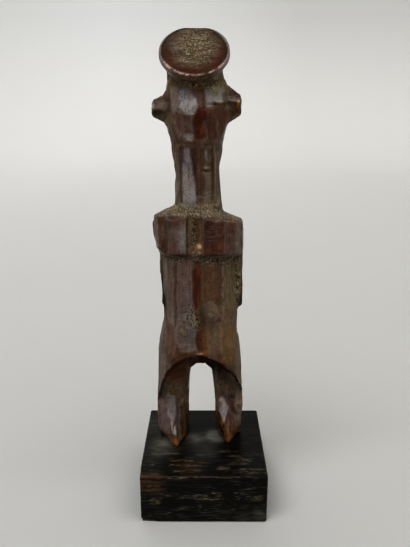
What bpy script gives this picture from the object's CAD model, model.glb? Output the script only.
"""A small hand-carved wooden figure on its black block: the finish, the light and the camera.

Sizes are in millimetres, +Z up, with the middle of the block's underside at the origin. The figure's
back is towards -Y, which is the side that the camera sees. Inside the figure, heights are counted
from the top of the block.
"""
import math

import bpy
import numpy as np
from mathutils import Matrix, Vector


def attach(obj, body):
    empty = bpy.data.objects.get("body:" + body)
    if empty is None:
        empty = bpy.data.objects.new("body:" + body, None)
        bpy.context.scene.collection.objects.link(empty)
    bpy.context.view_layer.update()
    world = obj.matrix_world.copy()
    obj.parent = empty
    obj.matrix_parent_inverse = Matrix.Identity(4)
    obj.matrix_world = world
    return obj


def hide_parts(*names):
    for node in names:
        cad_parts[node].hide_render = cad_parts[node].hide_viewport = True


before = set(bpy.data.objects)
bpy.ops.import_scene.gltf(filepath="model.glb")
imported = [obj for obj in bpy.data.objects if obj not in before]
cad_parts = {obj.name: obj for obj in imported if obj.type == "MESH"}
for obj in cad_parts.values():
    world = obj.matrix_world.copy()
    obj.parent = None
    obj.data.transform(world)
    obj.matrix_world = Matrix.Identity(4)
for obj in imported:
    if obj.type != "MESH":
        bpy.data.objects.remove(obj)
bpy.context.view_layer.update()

MM = 0.001
BLOCK_SIDE = 46.5
BLOCK_HEIGHT = 19.5

# How far apart the points of the two skins lie, and how near two corners of a solid are one
SKIN_STEP = 0.43
BLOCK_STEP = 0.39
ONE_CORNER = 0.002

# The figure's middle line leans a little: its x at the feet, and how much that changes with height
AXIS_AT_FEET = -1.2
AXIS_LEAN = -0.0115

# The disc of the coiffure: where its face lies, and how far it is tilted back
DISC_X = -3.3
DISC_Y = -5.2
DISC_H = 144.1
DISC_TILT = 46.8
# How far below that face its worn edge ends, and its rim, and the height that all of it is above
DISC_EDGE = -0.6
DISC_RIM = -2.6
DISC_ABOVE = 128

# The heights between which the face lies
FACE_FROM = 106
FACE_TO = 131

# The pale bowl that the object stands in, in metres, and how finely it is made
FLOOR_RADIUS = 1.3
WALL_CURVE = 0.9
WALL_HEIGHT = 1.5
BOWL_SIDES = 96
BOWL_STEPS = 16

# The photograph's frame, and where its camera stood
PHOTO_HEIGHT = 547
SENSOR_SIZE = 36
FOCAL_PIXELS = 551.2
CAMERA_AT = (0.18, -192.32, 144.56)
CAMERA_PITCH = 16.24
CAMERA_ROLL = -0.15


# Small tools

# A distance beyond all others, and for the ripple: how many random numbers it holds, how a cell's place
# picks one of them, and how much weaker each finer layer is
FAR = 1e9
RIPPLE_TABLE = 4096
RIPPLE_KEYS = (73, 1873, 3301)
RIPPLE_FADE = 1.7


def deselect_all():
    bpy.ops.object.select_all(action="DESELECT")


def take_up(piece):
    """Makes this the one selected and active object."""
    deselect_all()
    piece.select_set(True)
    bpy.context.view_layer.objects.active = piece


def unit(vector):
    vector = np.asarray(vector, float)
    return vector / np.linalg.norm(vector)


def smooth_step(low, high, value):
    """Goes softly from 0 at low to 1 at high, which may be the smaller of the two."""
    t = np.clip((value - low) / (high - low), 0, 1)
    return t * t * (3 - 2 * t)


def read_points(mesh):
    """A mesh's points in millimetres."""
    flat = np.empty(len(mesh.vertices) * 3, np.float32)
    mesh.vertices.foreach_get("co", flat)
    return flat.reshape(-1, 3).astype(float) / MM


def write_points(mesh, points):
    mesh.vertices.foreach_set("co", (points * MM).astype(np.float32).ravel())
    mesh.update()


def read_normals(mesh):
    flat = np.empty(len(mesh.vertices) * 3, np.float32)
    mesh.vertices.foreach_get("normal", flat)
    return flat.reshape(-1, 3).astype(float)


def read_edges(mesh):
    flat = np.empty(len(mesh.edges) * 2, np.int32)
    mesh.edges.foreach_get("vertices", flat)
    return flat.reshape(-1, 2)


def ripple(points, size, seed, octaves=2):
    """A smooth random field of about -1 to 1, with lumps of the given size in millimetres."""
    rng = np.random.default_rng(seed)
    size = np.broadcast_to(np.asarray(size, float), (3,))
    total = np.zeros(len(points))
    for octave in range(octaves):
        grid = points / size * 2**octave
        cell = np.floor(grid).astype(int)
        part = grid - cell
        part = part * part * (3 - 2 * part)
        table = rng.uniform(-1, 1, RIPPLE_TABLE)
        layer = np.zeros(len(points))
        for corner in range(8):
            step = np.array([corner & 1, corner >> 1 & 1, corner >> 2 & 1])
            key = (cell + step) @ np.array(RIPPLE_KEYS)
            weight = np.prod(np.where(step == 1, part, 1 - part), axis=1)
            layer += table[key % RIPPLE_TABLE] * weight
        total += layer / RIPPLE_FADE**octave
    return total


def store(mesh, name, values):
    """Keeps one number for each point, for a material to read."""
    layer = mesh.attributes.new(name, "FLOAT", "POINT")
    layer.data.foreach_set("value", np.clip(values, 0, 1).astype(np.float32))


def axis_x(h):
    """Where the figure's middle line is at a height."""
    return AXIS_AT_FEET + AXIS_LEAN * h


def turned(turn, tilt):
    """The way a facet faces or a lamp lies: turned to the right of straight back, and tilted up."""
    turn, tilt = math.radians(turn), math.radians(tilt)
    return np.array([math.sin(turn) * math.cos(tilt), -math.cos(turn) * math.cos(tilt), math.sin(tilt)])


def distance_to_path(points, path):
    """How far points lie from the nearest stretch of a path, in as many directions as the path has."""
    path = np.asarray(path, float)
    nearest = np.full(len(points), FAR)
    for a, b in zip(path[:-1], path[1:]):
        along = np.clip((points - a) @ (b - a) / ((b - a) @ (b - a)), 0, 1)
        nearest = np.minimum(nearest, np.linalg.norm(points - a - np.outer(along, b - a), axis=1))
    return nearest


def inside_outline(outline, across, up):
    """Which places lie inside a closed outline, counted by how often a level line crosses it."""
    inside = np.zeros(len(across), bool)
    for i, (x1, h1) in enumerate(outline):
        x0, h0 = outline[i - 1]
        if h0 == h1:
            continue
        crosses = (h0 > up) != (h1 > up)
        inside ^= crosses & (across < (x1 - x0) * (up - h0) / (h1 - h0) + x0)
    return inside


# The carved figure

# What the skin can carry at each point: a grey-lilac sheen, bare red wood, a greenish film, black dirt,
# dry dust, orange wear, pale rubbed lines, black pinholes, and level lines left by a chattering knife
FINISHES = ("bloom", "red", "olive", "grime", "dust", "wear", "pale", "holes", "chatter")

# A knife stroke takes off what stands up to the first height above it, and leaves what stands over the
# second. Its hollow covers this share of its points, in percent.
CUT_FADES = 0.35
CUT_ENDS = 0.8
HOLLOW_SHARE = 80

# How dirty a scored line is for each millimetre of its depth
SCORE_DIRT = 2.2


class Carving:
    """The figure's skin while it is being cut: its points in millimetres, and how they are joined."""

    def __init__(self, piece):
        self.mesh = piece.data
        self.points = read_points(self.mesh)
        self.points[:, 2] -= BLOCK_HEIGHT
        self.edges = read_edges(self.mesh)
        self.degree = np.bincount(self.edges.ravel(), minlength=len(self.points))
        self.normals = read_normals(self.mesh)
        self.start = self.points.copy()
        self.finish = {name: np.zeros(len(self.points)) for name in FINISHES}

    def refresh(self):
        write_points(self.mesh, self.points + np.array([0, 0, BLOCK_HEIGHT]))
        self.normals = read_normals(self.mesh)

    def spread(self, values, rounds):
        """Averages each point's value with its neighbours', so many times over."""
        for _ in range(rounds):
            total = np.bincount(self.edges[:, 0], values[self.edges[:, 1]], len(values))
            total += np.bincount(self.edges[:, 1], values[self.edges[:, 0]], len(values))
            values = 0.5 * values + 0.5 * total / self.degree
        return values

    def press(self, amount):
        """Moves every point along its normal, by its own amount."""
        self.points += self.normals * amount[:, None]

    def relax(self, rounds, strength):
        """Evens the skin, at a strength of 0 to 0.5."""
        for _ in range(rounds):
            for k in range(3):
                even = self.spread(self.points[:, k], 1)
                self.points[:, k] += 2 * strength * (even - self.points[:, k])

    def hollowness(self, rounds):
        """Above nought in a hollow and below it on an edge, in tenths of a millimetre."""
        even = np.stack([self.spread(self.points[:, k], rounds) for k in range(3)], axis=1)
        return ((even - self.points) * self.normals).sum(axis=1) * 10

    def cut_flat(self, region, facing, through, hollow, share=1.0):
        """Cuts a region down to a plane, with a hollow in it of the given depth."""
        away = self.points - through
        above = away @ facing
        radius = np.linalg.norm(away - np.outer(above, facing), axis=1)
        reach = max(np.percentile(radius[region], HOLLOW_SHARE), 0.1)
        over = above + hollow * np.clip(1 - (radius / reach) ** 2, 0, 1)
        keep = smooth_step(CUT_FADES, CUT_ENDS, over)
        depth = np.where(region & (over > 0), over * (1 - keep), 0) * share
        self.points -= depth[:, None] * facing

    def groove(self, path, half_width, depth, facing):
        """Presses a line into the skin that faces this way, along points given as x, y and height."""
        nearest = distance_to_path(self.points, path)
        amount = -depth * np.exp(-((nearest / half_width) ** 2))
        self.press(amount * smooth_step(0.0, 0.4, self.normals @ unit(facing)))

    def score(self, path, half_width, depth, front=6.0):
        """Scores and dirties a line, along points given as x and height, on what is in front of a y."""
        nearest = distance_to_path(self.points[:, [0, 2]], path)
        share = np.exp(-((nearest / half_width) ** 2)) * (self.points[:, 1] > front)
        share *= smooth_step(-0.2, 0.3, self.normals[:, 1] + 0.6 * self.normals[:, 2])
        self.press(-depth * share)
        self.finish["grime"] = np.maximum(self.finish["grime"], min(1.0, SCORE_DIRT * depth) * share)


def figure_blank():
    """The carved solid's form as one even skin, fine enough to take the knife."""
    blank = bpy.data.objects.new("figure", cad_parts["carved_figure"].data.copy())
    bpy.context.scene.collection.objects.link(blank)
    take_up(blank)
    bpy.ops.object.mode_set(mode="EDIT")
    bpy.ops.mesh.select_all(action="SELECT")
    bpy.ops.mesh.remove_doubles(threshold=ONE_CORNER * MM)
    bpy.ops.object.mode_set(mode="OBJECT")
    skin = blank.modifiers.new("skin", "REMESH")
    skin.mode = "VOXEL"
    skin.voxel_size = SKIN_STEP * MM
    bpy.ops.object.modifier_apply(modifier=skin.name)
    return blank


# Plain facets wherever there are none drawn by hand: how far apart, how much longer than wide, how deep
# and how hollow they are, how far they overlap, how much a turn of the skin counts as distance, how far
# off true they lean, how many places are tried for one, which finish they may have, how often that is
# evened, and what it becomes where a form has no such facets
FACET_SPACING = 4.2
FACET_LENGTH = 2.6
FACET_SINK = 0.10
FACET_HOLLOW = 0.05
FACET_OVERLAP = 0.95
FACET_TURN = 0.6
FACET_LEAN = 0.05
FACET_TRIES = 6000
FACET_BLOOM = (0.06, 0.12, 0.20, 0.30)
FACET_RED = (0, 0.1, 0.3, 0.5)
FACET_OLIVE = (0, 0.1, 0.3)
FACET_EVENING = 14
EVEN_FINISH = {"bloom": 0.10, "red": 0.30, "olive": 0.05}


def carved_detail(points):
    """How far a place belongs to a form that the plain facets leave alone."""
    x, y, h = points[:, 0] - axis_x(points[:, 2]), points[:, 1], points[:, 2]
    face = smooth_step(1.5, 4.0, y) * smooth_step(FACE_FROM, FACE_FROM + 2, h)
    face *= smooth_step(FACE_TO, FACE_TO - 2, h)
    hands = smooth_step(6, 8, y) * smooth_step(57, 59, h) * smooth_step(70, 68, h)
    feet = smooth_step(5, 8, y) * smooth_step(10, 7, h)
    ears = smooth_step(10.3, 11.3, np.abs(x)) * smooth_step(118, 120, h) * smooth_step(134, 133, h)
    ears *= smooth_step(-0.5, 0.5, y)
    navel = smooth_step(3.2, 2.2, np.hypot(x, h - 63)) * (y > 8)
    disc = disc_place(points)
    lid = smooth_step(DISC_RIM, DISC_RIM + 1, disc[:, 2]) * (h > 130)
    return np.maximum.reduce([face, hands, feet, ears, navel, lid])


def cut_plain_facets(carving):
    rng = np.random.default_rng(7)
    points, normals = carving.points, carving.normals
    stretch = np.array([1, 1, 1 / FACET_LENGTH])
    place = np.hstack([points * stretch, normals * FACET_SPACING * FACET_TURN])
    seeds = []
    free = np.ones(len(points), bool)
    for candidate in rng.permutation(len(points))[:FACET_TRIES]:
        if free[candidate]:
            seeds.append(candidate)
            free &= ((place - place[candidate]) ** 2).sum(axis=1) > FACET_SPACING**2
    nearest = np.full(len(points), FAR)
    owner = np.zeros(len(points), int)
    for number, seed in enumerate(seeds):
        away = ((place - place[seed]) ** 2).sum(axis=1)
        closer = away < nearest
        nearest[closer] = away[closer]
        owner[closer] = number
    share = 1 - carved_detail(points)
    reach = (FACET_SPACING * FACET_OVERLAP) ** 2
    for number, seed in enumerate(seeds):
        cell = owner == number
        region = ((place - place[seed]) ** 2).sum(axis=1) < reach
        facing = unit(normals[cell].mean(axis=0) + rng.normal(0, FACET_LEAN, 3))
        through = points[cell].mean(axis=0) - facing * FACET_SINK * rng.uniform(0.3, 1.5)
        carving.cut_flat(region, facing, through, FACET_HOLLOW, share)
        carving.finish["bloom"][cell] = rng.choice(FACET_BLOOM)
        carving.finish["red"][cell] = rng.choice(FACET_RED)
        carving.finish["olive"][cell] = rng.choice(FACET_OLIVE)
    for name, even in EVEN_FINISH.items():
        softened = carving.spread(carving.finish[name], FACET_EVENING)
        carving.finish[name] = even + share * (softened - even)


# The facets that show on the back, each drawn by eye: its corners as x and height, how hollow it is, how
# far it leans to the right and up in degrees, and how much bloom, red, olive and grime it has
BACK_FACETS = [
    # back of the head, above the widest line
    ([(-8.3, 132.6), (-5.6, 133.0), (-2.6, 129.2), (-2.2, 126.8), (-3.9, 124.3), (-5.9, 124.8),
      (-8.0, 127.0)],
     0.16, -2, 6, 1.0, 0, 0, 0),
    ([(-11.4, 133.6), (-8.3, 132.6), (-8.0, 127.0), (-9.2, 124.1), (-10.6, 126.5)],
     0.10, -3, 2, 0.45, 0, 0.4, 0),
    ([(-5.6, 133.0), (0.0, 130.6), (0.3, 127.6), (-2.0, 125.6), (-2.2, 126.8), (-2.6, 129.2)],
     0.10, 4, 0, 0.22, 0.55, 0, 0.1),
    ([(0.0, 132.0), (4.4, 132.8), (6.4, 131.0), (6.9, 129.5), (5.4, 128.4), (3.6, 128.6), (0.6, 127.8)],
     0.14, 2, 8, 0.85, 0, 0.4, 0),
    ([(0.3, 128.0), (3.0, 128.2), (1.6, 126.4), (0.4, 126.6)],
     0.05, -4, 4, 0.55, 0.2, 0, 0),
    # and below it
    ([(-9.4, 125.6), (-5.9, 124.8), (-3.9, 124.2), (-4.2, 121.4), (-4.0, 118.6), (-8.2, 118.4),
      (-9.2, 121)],
     0.12, 0, -2, 0.19, 0.60, 0, 0),
    ([(-6.5, 118.2), (-5.2, 119.2), (-3.8, 118.9), (-3.3, 117.4), (-4.2, 116.2), (-5.9, 116.6)],
     0.10, 0, 12, 0.72, 0, 0, 0),
    ([(-2.4, 126.2), (0.2, 128.2), (1.2, 124.4), (-0.4, 121.4), (0.9, 117.6), (-1.0, 116.7),
      (-3.2, 116.9), (-3.9, 123.0)],
     0.15, 4, -4, 0, 1.0, 0, 0.1),
    ([(1.2, 125.8), (5.5, 128.2), (8.6, 125.6), (6.8, 120.6), (5.9, 116.4), (1.2, 116.6), (0.0, 121.4)],
     0.10, 0, -2, 0.06, 0.60, 0.15, 0),
    # ears
    ([(-17.3, 128.6), (-13.4, 129.6), (-12.0, 127.4), (-12.6, 125.8), (-17.3, 126.9)],
     0.10, 0, 10, 0.24, 0, 0.35, 0.16),
    ([(-17.3, 126.9), (-12.6, 125.8), (-12.2, 122.6), (-15.2, 121.8), (-17.3, 124.4)],
     0.10, 0, -10, 0, 0, 0.5, 0.55),
    ([(6.9, 130.4), (11.8, 130.0), (11.8, 128.6), (6.9, 129.0)],
     0.05, 0, 8, 0.22, 0, 0.2, 0.05),
    ([(6.9, 129.0), (11.8, 128.6), (11.8, 125.2), (8.6, 123.6), (8.0, 126.0)],
     0.08, 0, -8, 0, 0.3, 0.2, 0.35),
    # neck
    ([(-9.6, 115), (-8.5, 115), (-8.4, 95), (-9.9, 94)],
     0.03, -8, 0, 0.12, 0, 0.6, 0),
    ([(-8.5, 112), (-7.2, 114), (-7.3, 95), (-8.4, 95)],
     0.06, -4, 0, 0.12, 0.5, 0.1, 0.30),
    ([(-6.6, 114.4), (-5.0, 114.4), (-4.0, 108), (-2.9, 101), (-2.6, 94.8), (-7.2, 94.6), (-7.1, 108)],
     0.08, 0, 2, 0.80, 0, 0, 0),
    ([(-5.0, 114.4), (-2.2, 114.4), (-2.0, 96), (-2.9, 101), (-4.0, 108)],
     0.10, 8, -2, 0.05, 0.35, 0, 0.35),
    ([(-2.2, 114.4), (0.2, 114.4), (0.2, 95), (-2.0, 95)],
     0.06, 0, 0, 0.08, 0.40, 0.3, 0.28),
    ([(0.2, 114.4), (2.0, 114.4), (2.3, 95), (0.2, 95)],
     0.08, 4, 0, 0.22, 0.1, 0.42, 0.05),
    ([(2.0, 114.4), (3.2, 114.4), (3.6, 95), (2.3, 95)],
     0.06, 2, 0, 0, 0.5, 0.2, 0.35),
    ([(3.2, 114.4), (6.4, 114.4), (7.4, 95), (3.6, 95)],
     0.05, 4, 0, 0.2, 0, 0.75, 0),
    # shoulder band
    ([(-17.5, 91), (-15.8, 91), (-15.8, 79), (-17.5, 80)],
     0.05, -6, 0, 0.45, 0, 0.3, 0),
    ([(-15.8, 91), (-12.4, 91), (-12.2, 79), (-15.8, 79)],
     0.08, -2, 0, 0.06, 0.55, 0.1, 0.30),
    ([(-12.4, 91.2), (-6.1, 91.2), (-6.1, 79), (-12.2, 79)],
     0.12, -2, 1, 0.20, 0.35, 0, 0.05),
    ([(-0.1, 91.2), (6.9, 91.2), (6.9, 79), (-0.1, 78.8)],
     0.14, 2, 0, 0.06, 0.75, 0, 0.25),
    ([(6.9, 91.2), (10.7, 91.2), (10.7, 79), (6.9, 79)],
     0.08, 0, 0, 0.18, 0.45, 0.05, 0.1),
    ([(10.7, 91.2), (12.7, 91.2), (12.7, 79), (10.7, 79)],
     0.05, 4, 0, 0.40, 0, 0.3, 0),
    # trunk
    ([(-14.9, 77), (-13.4, 77), (-13.4, 57), (-14.9, 57)],
     0.03, -4, 0, 0.45, 0, 0.5, 0),
    ([(-13.4, 77), (-10.6, 77), (-11.0, 52), (-13.4, 53)],
     0.08, -2, 0, 0.28, 0.05, 0.48, 0.02),
    ([(-10.6, 77), (-9.0, 77), (-9.4, 52), (-11.0, 52)],
     0.05, 0, 0, 0.15, 0.45, 0, 0.1),
    ([(-9.0, 77), (-4.3, 76), (-4.2, 66), (-3.6, 58), (-4.0, 52), (-9.4, 52)],
     0.12, 0, 0, 0.31, 0.30, 0, 0.03),
    ([(-4.3, 73), (-2.6, 75.6), (-0.6, 74.6), (-1.0, 66), (-1.4, 57), (-3.2, 57), (-4.0, 64)],
     0.16, 3, 0, 0, 0.85, 0, 0.25),
    ([(-0.6, 76), (3.4, 76), (2.6, 62), (-1.2, 60)],
     0.12, 0, 0, 0.04, 0.42, 0.4, 0.08),
    ([(3.4, 76), (6.4, 76), (6.2, 57), (2.6, 62)],
     0.10, 0, 0, 0.05, 0.52, 0.3, 0.04),
    ([(6.4, 76), (11.2, 76), (11.8, 52), (6.6, 54)],
     0.08, 3, 0, 0.12, 0, 0.9, 0),
    ([(-3.6, 57.6), (-1.2, 60), (1.0, 55), (0.2, 50.5), (-2.6, 51)],
     0.16, 6, 3, 0.05, 0.15, 0.5, 0.15),
    ([(0.4, 60.6), (2.6, 62), (5.4, 57), (2.6, 52), (0.8, 54)],
     0.12, 0, 4, 0.15, 0, 0.7, 0),
    # hips
    ([(-9.9, 52), (-8.0, 53.6), (-5.6, 52.2), (-2.9, 51.0), (-3.3, 47), (-2.4, 44.4), (-4.6, 43.0),
      (-8.0, 42.6), (-9.8, 45)],
     0.35, 0, 4, 0.27, 0.08, 0, 0),
    ([(-13.6, 53), (-11.2, 52), (-9.8, 45), (-11.8, 38), (-14.2, 36)],
     0.10, -3, 0, 0.16, 0.35, 0.2, 0),
    ([(-17.0, 50), (-13.6, 53), (-14.2, 36), (-14.6, 20), (-17.5, 16)],
     0.05, -4, 0, 0.35, 0.1, 0.3, 0),
    ([(-9.8, 45), (-8.0, 42.6), (-4.6, 43.0), (-2.4, 41.8), (-12.0, 35), (-11.8, 38)],
     0.05, 0, 0, 0.02, 0.3, 0.35, 0.1),
    ([(-2.6, 51), (0.6, 52), (1.8, 42.5), (-2.4, 43.6), (-3.3, 47)],
     0.12, 4, 0, 0, 0.6, 0.2, 0.1),
    ([(0.6, 53), (5.9, 54), (6.4, 42), (1.8, 42.5)],
     0.15, 2, 2, 0.15, 0.1, 0.7, 0),
    ([(5.9, 54), (11.9, 52), (12.9, 32), (11.0, 35), (8.6, 39), (6.4, 42)],
     0.12, 2, 0, 0.05, 0.1, 0.9, 0),
    ([(11.9, 52), (13.5, 48), (15.4, 24), (12.9, 30)],
     0.06, 4, 0, 0.30, 0, 0.6, 0),
    # left thigh and calf
    ([(-14.6, 30), (-9, 38), (-4.9, 38), (-5.6, 27), (-10, 26), (-14.6, 25)],
     0.10, 0, 0, 0.05, 0.8, 0.1, 0),
    ([(-14.6, 25), (-10, 26), (-5.6, 27), (-5.8, 18), (-8.4, 18), (-11, 19), (-14.2, 21)],
     0.10, 0, 0, 0.12, 0.50, 0.40, 0),
    ([(-17.6, 24), (-14.2, 23), (-13.9, 12), (-12.6, 4), (-15.8, 4)],
     0.06, -6, 0, 0.36, 0.55, 0, 0),
    ([(-14.2, 20), (-11.3, 19.2), (-10.7, 13), (-12.2, 7.3), (-13.9, 12)],
     0.25, -4, 6, 0.70, 0.2, 0, 0),
    ([(-13.6, 11), (-12.2, 7.3), (-11.0, 9), (-10.7, 4.6), (-12.2, 4.8)],
     0.05, -8, 10, 0.75, 0, 0, 0),
    ([(-11.3, 19.2), (-8.2, 18), (-8.6, 3.4), (-10.4, 2.6), (-10.7, 13)],
     0.10, 4, 0, 0.20, 0.3, 0.5, 0.15),
    ([(-8.2, 18), (-6.2, 17), (-7.0, 3), (-8.6, 3)],
     0.08, 4, 0, 0.1, 0, 0.9, 0.2),
    # right calf and heel
    ([(5.8, 19.0), (7.6, 19.4), (9.6, 14.6), (8.9, 11), (7.7, 8.6), (6.0, 13.6)],
     0.35, -6, 8, 1.0, 0, 0, 0),
    ([(4.6, 30), (8.6, 28), (12.8, 24), (12.4, 20.5), (9.2, 20.5), (5.8, 20.5)],
     0.08, 2, 0, 0.12, 0.45, 0.35, 0),
    ([(9.2, 20.5), (12.4, 20.5), (12.6, 11), (10.8, 5), (8.9, 11), (9.6, 14.6)],
     0.08, 2, 0, 0.14, 0.70, 0.1, 0.05),
    ([(12.4, 22), (15.5, 24), (15.5, 4), (12.2, 3.5), (12.6, 11)],
     0.06, 6, 0, 0.36, 0.1, 0.6, 0),
    ([(4.9, 14), (6.0, 13.6), (7.7, 8.6), (9.8, 2), (7.5, 1.5), (5.4, 8)],
     0.15, -10, -4, 0, 0.4, 0, 0.7),
]
# How far those facets grow past their corners and how deep they are sunk, how much their edges waver
# sideways and in height, how their bloom fades from the bottom to the top, how bright their ridges are,
# and between which distances from an edge a ridge ends
BACK_GROWS = 0.12
BACK_SINK = 0.06
WAVER_ASIDE = 0.16
WAVER_UP = 0.30
BLOOM_FADE = (1.15, 0.8)
RIDGE_BLOOM = 0.18
RIDGE_REACH = (0.45, 0.15)


def cut_back_facets(carving):
    points = carving.points
    x = points[:, 0] + WAVER_ASIDE * ripple(points, (2, 2, 3), 41)
    h = points[:, 2] + WAVER_UP * ripple(points, (2, 2, 3), 42)
    behind = (carving.normals[:, 1] < -0.15) & (disc_place(points)[:, 2] < -2.2)
    for outline, hollow, lean_right, lean_up, *finish in BACK_FACETS:
        inside = inside_outline(outline, x, h) & behind
        middle = points[inside].mean(axis=0)
        facing = carving.normals[inside].mean(axis=0)
        turn = math.degrees(math.atan2(facing[0], -facing[1])) + lean_right
        tilt = math.degrees(math.asin(unit(facing)[2])) + lean_up
        grown = np.array(outline) + BACK_GROWS * (np.array(outline) - middle[[0, 2]])
        region = inside_outline(grown, x, h) & behind
        facing = turned(turn, tilt)
        carving.cut_flat(region, facing, middle - facing * BACK_SINK, hollow)
        for name, amount in zip(FINISHES, finish):
            carving.finish[name][inside] = amount
        low, high = h[inside].min(), h[inside].max()
        carving.finish["bloom"][inside] *= np.interp(h[inside], [low, high], BLOOM_FADE)
        from_side = distance_to_path(np.stack([x[inside], h[inside]], axis=1), [*outline, outline[0]])
        ridge = smooth_step(*RIDGE_REACH, from_side)
        carving.finish["bloom"][inside] += RIDGE_BLOOM * ridge * smooth_step(1, 0, finish[0])


def disc_place(points):
    """Places on the disc: across it, up its slope, and out from its face."""
    away = points - np.array([DISC_X, DISC_Y, DISC_H])
    tilt = math.radians(DISC_TILT)
    up_slope = np.array([0, math.cos(tilt), math.sin(tilt)])
    out = np.array([0, -math.sin(tilt), math.cos(tilt)])
    return np.stack([away[:, 0], away @ up_slope, away @ out], axis=1)


# Lines that the knife left on the back: half width, depth, and points as x, y and height
BACK_LINES = [
    # the nick in the neck, and its raised lip
    (0.50, 0.55, [(-0.6, -7.3, 106.3), (1.8, -6.5, 106.5)]),
    (0.50, -0.25, [(-0.3, -7.3, 107.7), (1.6, -6.5, 107.7)]),
    # the flute down the neck, and the step between neck and head
    (0.4, 0.22, [(-1.9, -9, 115.2), (-1.8, -9, 95)]),
    (0.5, 0.35, [(-8.8, -7, 115.5), (0, -9.5, 115.5), (5.6, -6, 115.5)]),
    # cracks in the left calf
    (0.35, 0.25, [(-10.7, -0.5, 18), (-10.3, -2.2, 8), (-10.0, -4.0, 1)]),
    (0.35, 0.2, [(-9.5, -0.5, 17), (-9.3, -2.2, 8), (-9.0, -3.0, 1)]),
    # the groove's left edge in the shoulder band
    (0.3, 0.15, [(-6.2, -12, 91.5), (-6.15, -12, 78)]),
]
TO_THE_BACK = (0, -1, 0)
TO_THE_FRONT = (0, 1, 0)

# Where the carved solid has its eyes, mouth, nose, ears, fingers and toes: how far out from the middle
# line, how high, how long by half, and how far apart
EYE_OUT, EYE_H, EYE_HALF = 4.2, 121.9, 2.1
MOUTH_H, MOUTH_HALF = 113.2, 2.9
NOSE_H = 117.9
EAR_OUT, EAR_H = 12.6, 127
FINGERS_OUT, FINGERS_H, FINGER_STEP, FINGER_HALF = 5.3, 64.1, 1.65, 2.1
TOES_OUT, TOE_STEP, TOE_TOP, TOES_FROM = 11.2, 2.3, 5.5, 11.0


def bowed(middle, h, half, drop):
    """A level line whose ends hang down by the given drop."""
    return [(middle + half * t, h - drop * t * t) for t in (-1, -0.6, -0.2, 0.2, 0.6, 1)]


def cut_front(carving):
    """Eyes, mouth, nostrils, ears, fingers and toes, drawn with the point of the knife."""
    for side in (-1, 1):
        eye_x = axis_x(EYE_H) + side * EYE_OUT
        carving.score(bowed(eye_x, EYE_H, EYE_HALF, 0.25), 0.36, 0.55)
        carving.score(bowed(eye_x, EYE_H + 1.5, EYE_HALF + 0.4, 0.9), 0.40, 0.28)
        carving.score(bowed(eye_x, EYE_H - 1.4, EYE_HALF, -0.7), 0.45, 0.18)
        nose_x = axis_x(NOSE_H)
        carving.score([(nose_x + side * 0.9, NOSE_H), (nose_x + side * 1.7, NOSE_H + 0.2)], 0.45, 0.35)
        carving.score([(nose_x + side * 3.0, NOSE_H - 0.4), (nose_x + side * 2.2, NOSE_H + 2.6)], 0.5, 0.22)
        ear_x = axis_x(EAR_H) + side * EAR_OUT
        hollow = [(ear_x - side * 1.2, 2.9, 126.2), (ear_x + side * 0.6, 2.6, 128.0)]
        carving.groove(hollow, 0.8, 0.5, TO_THE_FRONT)
        for step in (-1, 0, 1):
            h = FINGERS_H + step * FINGER_STEP
            finger_x = axis_x(h) + side * FINGERS_OUT
            carving.score([(finger_x - FINGER_HALF, h), (finger_x + FINGER_HALF, h)], 0.33, 0.45)
        for step in (-1.5, -0.5, 0.5, 1.5):
            toe_x = axis_x(0) + side * TOES_OUT + step * TOE_STEP
            carving.score([(toe_x, 0), (toe_x, TOE_TOP)], 0.38, 0.55, TOES_FROM)
    mouth_x = axis_x(MOUTH_H)
    carving.score(bowed(mouth_x, MOUTH_H, MOUTH_HALF, 0.2), 0.38, 0.55)
    carving.score(bowed(mouth_x, MOUTH_H - 2.1, 1.8, -0.3), 0.6, 0.22)


# The cuts take a little off all round, which is put back
SKIN_GROWS = 0.16
# How deep the surface goes: wobble, grain, and the pits in the disc, in the shoulders' dust, and elsewhere
WOBBLE_DEPTH = 0.05
GRAIN_DEPTH = 0.022
DISC_PITS = 0.12
SHOULDER_PITS = 0.22
PLAIN_PITS = 0.03


def roughen(carving):
    """The wobble of hand work, the fine grain, and the pits in the disc and the shoulders' dust."""
    p = carving.points
    wobble = WOBBLE_DEPTH * ripple(p, (2.6, 2.6, 4.5), 11)
    grain = GRAIN_DEPTH * ripple(p, (0.9, 0.9, 7.0), 12)
    pits = ripple(p, 1.1, 13)
    disc = disc_place(p)
    lid = smooth_step(DISC_EDGE, DISC_EDGE + 0.4, disc[:, 2])
    lid *= smooth_step(10.6, 8.5, np.hypot(disc[:, 0], disc[:, 1]))
    crust = smooth_step(0.45, 0.8, carving.normals[:, 2]) * smooth_step(88, 90, p[:, 2]) * (p[:, 2] < 99)
    rough = np.maximum.reduce([lid * DISC_PITS, crust * SHOULDER_PITS, np.full(len(p), PLAIN_PITS)])
    carving.press(SKIN_GROWS + wobble + grain - rough * smooth_step(0.0, 1.0, pits))


# How far each heel's point is drawn out again, as evening the skin blunts it: x, y, how far.
# The pull on the skin fades within this reach.
HEEL_POINTS = ((-10.3, -3.2, 1.4), (9.8, 0.3, 1.8))
PULL_REACH = 2.2


def draw_out_heels(carving):
    for x, y, pull in HEEL_POINTS:
        away = np.linalg.norm((carving.points - (x, y, 0)) * (1, 1, 0.6), axis=1)
        carving.points[:, 1] -= pull * np.exp(-((away / PULL_REACH) ** 2))


# The right half of the arch's back edge hangs lower than the left: along this line, by so much, this way
ARCH_EDGE = [(2.6, -10.9, 41.6), (5.5, -10.4, 40.1), (8.9, -9.1, 37.1), (11.0, -6.0, 33.8),
             (12.8, -2.0, 28.6)]
ARCH_DROP = 1.5
ARCH_WAY = (-0.35, 0, -1)


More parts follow.
